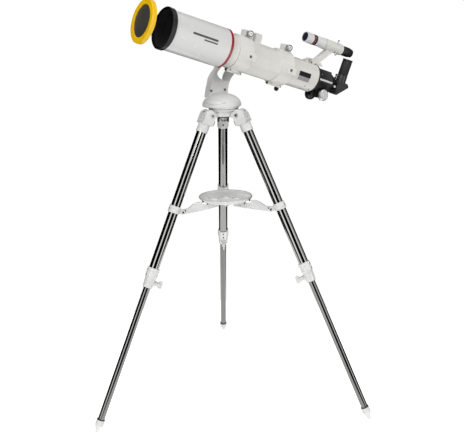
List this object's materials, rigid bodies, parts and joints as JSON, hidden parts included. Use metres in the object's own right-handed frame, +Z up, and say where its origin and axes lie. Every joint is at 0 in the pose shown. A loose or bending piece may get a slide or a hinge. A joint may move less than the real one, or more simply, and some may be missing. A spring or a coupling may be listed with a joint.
{
  "type": "refractor telescope",
  "caption": "Short refractor telescope in a hinged cradle on a single-arm alt-azimuth mount and folding tripod, with finder, star diagonal, eyepiece and front solar filter.",
  "frame": {"origin": "on the floor, under the azimuth axis", "axes": "+Z up along the azimuth axis, +X the horizontal direction that the telescope looks in, +Y the side of the tube away from the mount arm"},
  "size_m": [1.0675, 0.9024, 1.3468],
  "materials": {
    "white_paint": "white powder coat on die-cast aluminium",
    "white_tube": "gloss white enamel on rolled aluminium tube",
    "white_plastic": "white moulded plastic",
    "steel": "plain bright steel",
    "bright_steel": "polished steel tube",
    "black_steel": "blackened steel",
    "black_aluminium": "satin black anodised",
    "satin_aluminium": "satin clear anodised",
    "black_plastic": "black moulded plastic",
    "grey_plastic": "pale grey rubber",
    "yellow_plastic": "golden yellow",
    "chrome": "knurled chrome",
    "lens_glass": "coated optical glass",
    "mirror": "front-silvered flat",
    "filter_film": "dark metal-coated film"
  },
  "bodies": {
    "tripod": {"tripod_hub": "white_paint", "leg_pivot_bolts": "steel", "azimuth_spindle": "steel"},
    "azimuth_head": {"azimuth_dome": "white_paint", "mount_arm": "white_paint", "arm_bolts": "black_steel"},
    "telescope": {"altitude_axle": "steel", "dovetail_saddle": "white_paint", "dovetail_bar": "black_aluminium", "cradle_base": "white_paint", "cradle_hinge_pins": "black_steel", "main_tube": "white_tube", "dew_shield": "white_tube", "dew_rim": "black_aluminium", "lens_cell": "white_tube", "objective_lenses": "lens_glass", "focuser_body": "black_aluminium", "finder_bracket": "white_plastic", "finder_tube": "white_plastic", "finder_screws": "chrome"},
    "tension_knob": {"altitude_knob": "black_plastic"},
    "saddle_screw": {"saddle_knob": "chrome"},
    "cradle_lid": {"cradle_cover": "white_paint", "cradle_knobs": "chrome"},
    "focus_tube": {"drawtube": "black_aluminium"},
    "focus_pinion": {"pinion_shaft": "steel", "focus_knobs": "satin_aluminium"},
    "focus_lock": {"focus_lock_screw": "black_plastic"},
    "diagonal": {"star_diagonal": "black_plastic", "diagonal_mirror": "mirror", "diagonal_thumbscrews": "chrome"},
    "ocular": {"eyepiece": "black_aluminium"},
    "finder_focus": {"finder_eyepiece": "black_plastic"},
    "solar_filter": {"filter_cell": "yellow_plastic", "filter_film": "filter_film"},
    "tray": {"accessory_tray": "white_plastic"},
    "leg_1": {"leg_bracket_1": "white_paint", "upper_leg_1": "bright_steel", "leg_collar_1": "white_plastic", "leg_clamp_1": "white_paint"},
    "leg_end_1": {"lower_leg_1": "bright_steel", "leg_foot_1": "grey_plastic"},
    "leg_lock_1": {"clamp_screw_1": "white_plastic"},
    "spreader_1": {"spreader_arm_1": "white_plastic"},
    "leg_2": {"leg_bracket_2": "white_paint", "upper_leg_2": "bright_steel", "leg_collar_2": "white_plastic", "leg_clamp_2": "white_paint"},
    "leg_end_2": {"lower_leg_2": "bright_steel", "leg_foot_2": "grey_plastic"},
    "leg_lock_2": {"clamp_screw_2": "white_plastic"},
    "spreader_2": {"spreader_arm_2": "white_plastic"},
    "leg_3": {"leg_bracket_3": "white_paint", "upper_leg_3": "bright_steel", "leg_collar_3": "white_plastic", "leg_clamp_3": "white_paint"},
    "leg_end_3": {"lower_leg_3": "bright_steel", "leg_foot_3": "grey_plastic"},
    "leg_lock_3": {"clamp_screw_3": "white_plastic"},
    "spreader_3": {"spreader_arm_3": "white_plastic"}
  },
  "joints": [
    {"name": "azimuth_turn", "type": "hinge", "parent": "tripod", "child": "azimuth_head", "pos_m": [0, 0, 1.02], "axis": [0, 0, 1], "continuous": true},
    {"name": "altitude_tilt", "type": "hinge", "parent": "azimuth_head", "child": "telescope", "pos_m": [-0.10672, 0, 1.1599], "axis": [0, -1, 0], "range_deg": [-25, 50]},
    {"name": "tension_knob_turn", "type": "hinge", "parent": "telescope", "child": "tension_knob", "pos_m": [-0.10672, 0, 1.1599], "axis": [0, 1, 0], "continuous": true},
    {"name": "saddle_knob_turn", "type": "hinge", "parent": "telescope", "child": "saddle_screw", "pos_m": [-0.11886, -0.07, 1.19802], "axis": [-0.3035, 0, 0.9528], "continuous": true},
    {"name": "cradle_open", "type": "hinge", "parent": "telescope", "child": "cradle_lid", "pos_m": [-0.05771, 0, 1.11149], "axis": [-0.9528, 0, -0.3035], "range_deg": [0, 60]},
    {"name": "focus_slide", "type": "slide", "parent": "telescope", "child": "focus_tube", "axis": [-0.9528, 0, -0.3035], "range_m": [0, 0.06]},
    {"name": "focus_pinion_turn", "type": "hinge", "parent": "telescope", "child": "focus_pinion", "pos_m": [-0.38847, 0, 1.01977], "axis": [0, -1, 0], "range_deg": [0, 430]},
    {"name": "focus_lock_turn", "type": "hinge", "parent": "telescope", "child": "focus_lock", "pos_m": [-0.3585, 0.008, 1.01463], "axis": [-0.3035, 0, 0.9528], "continuous": true},
    {"name": "diagonal_turn", "type": "hinge", "parent": "focus_tube", "child": "diagonal", "pos_m": [-0.47641, 0, 1.04213], "axis": [0.9528, 0, 0.3035], "range_deg": [-90, 90]},
    {"name": "eyepiece_pull", "type": "slide", "parent": "diagonal", "child": "ocular", "axis": [-0.3006, 0.1392, 0.9435], "range_m": [0, 0.006]},
    {"name": "finder_focus_turn", "type": "hinge", "parent": "telescope", "child": "finder_focus", "pos_m": [-0.51466, 0, 1.16219], "axis": [0.9528, 0, 0.3035], "continuous": true},
    {"name": "filter_push_on", "type": "slide", "parent": "telescope", "child": "solar_filter", "axis": [-0.9528, 0, -0.3035], "range_m": [0, 0.064]},
    {"name": "tray_lift", "type": "slide", "parent": "tripod", "child": "tray", "axis": [0, 0, 1], "range_m": [0, 0.0896]},
    {"name": "leg_fold_1", "type": "hinge", "parent": "tripod", "child": "leg_1", "pos_m": [0.055, 0, 0.9845], "axis": [0, 1, 0], "range_deg": [0, 8]},
    {"name": "leg_fold_2", "type": "hinge", "parent": "tripod", "child": "leg_2", "pos_m": [-0.0275, 0.04763, 0.9845], "axis": [-0.866, -0.5, 0], "range_deg": [0, 8]},
    {"name": "leg_fold_3", "type": "hinge", "parent": "tripod", "child": "leg_3", "pos_m": [-0.0275, -0.04763, 0.9845], "axis": [0.866, -0.5, 0], "range_deg": [0, 8]},
    {"name": "leg_slide_1", "type": "slide", "parent": "leg_1", "child": "leg_end_1", "axis": [-0.4188, 0, 0.9081], "range_m": [-0.04, 0.35]},
    {"name": "leg_lock_turn_1", "type": "hinge", "parent": "leg_1", "child": "leg_lock_1", "pos_m": [0.26588, 0, 0.4533], "axis": [0.9081, 0, 0.4188], "continuous": true},
    {"name": "spreader_fold_1", "type": "hinge", "parent": "leg_1", "child": "spreader_1", "pos_m": [0.169, 0, 0.682], "axis": [0, 1, 0], "range_deg": [0, 40.1]},
    {"name": "leg_slide_2", "type": "slide", "parent": "leg_2", "child": "leg_end_2", "axis": [0.2094, -0.3627, 0.9081], "range_m": [-0.04, 0.35]},
    {"name": "leg_lock_turn_2", "type": "hinge", "parent": "leg_2", "child": "leg_lock_2", "pos_m": [-0.13294, 0.23026, 0.4533], "axis": [-0.454, 0.7864, 0.4188], "continuous": true},
    {"name": "spreader_fold_2", "type": "hinge", "parent": "leg_2", "child": "spreader_2", "pos_m": [-0.0845, 0.14636, 0.682], "axis": [-0.866, -0.5, 0], "range_deg": [0, 40.1]},
    {"name": "leg_slide_3", "type": "slide", "parent": "leg_3", "child": "leg_end_3", "axis": [0.2094, 0.3627, 0.9081], "range_m": [-0.04, 0.35]},
    {"name": "leg_lock_turn_3", "type": "hinge", "parent": "leg_3", "child": "leg_lock_3", "pos_m": [-0.13294, -0.23026, 0.4533], "axis": [-0.454, -0.7864, 0.4188], "continuous": true},
    {"name": "spreader_fold_3", "type": "hinge", "parent": "leg_3", "child": "spreader_3", "pos_m": [-0.0845, -0.14636, 0.682], "axis": [0.866, -0.5, 0], "range_deg": [0, 40.1]}
  ],
  "couplings": [
    {"joint": "leg_fold_2", "follows": "leg_fold_1", "ratio": 1},
    {"joint": "leg_fold_3", "follows": "leg_fold_1", "ratio": 1},
    {"joint": "spreader_fold_1", "follows": "leg_fold_1", "ratio": 5.006},
    {"joint": "spreader_fold_2", "follows": "leg_fold_1", "ratio": 5.006},
    {"joint": "spreader_fold_3", "follows": "leg_fold_1", "ratio": 5.006},
    {"joint": "tray_lift", "follows": "leg_fold_1", "m_per_rad": 0.6415},
    {"joint": "focus_pinion_turn", "follows": "focus_slide", "rad_per_m": 125}
  ]
}
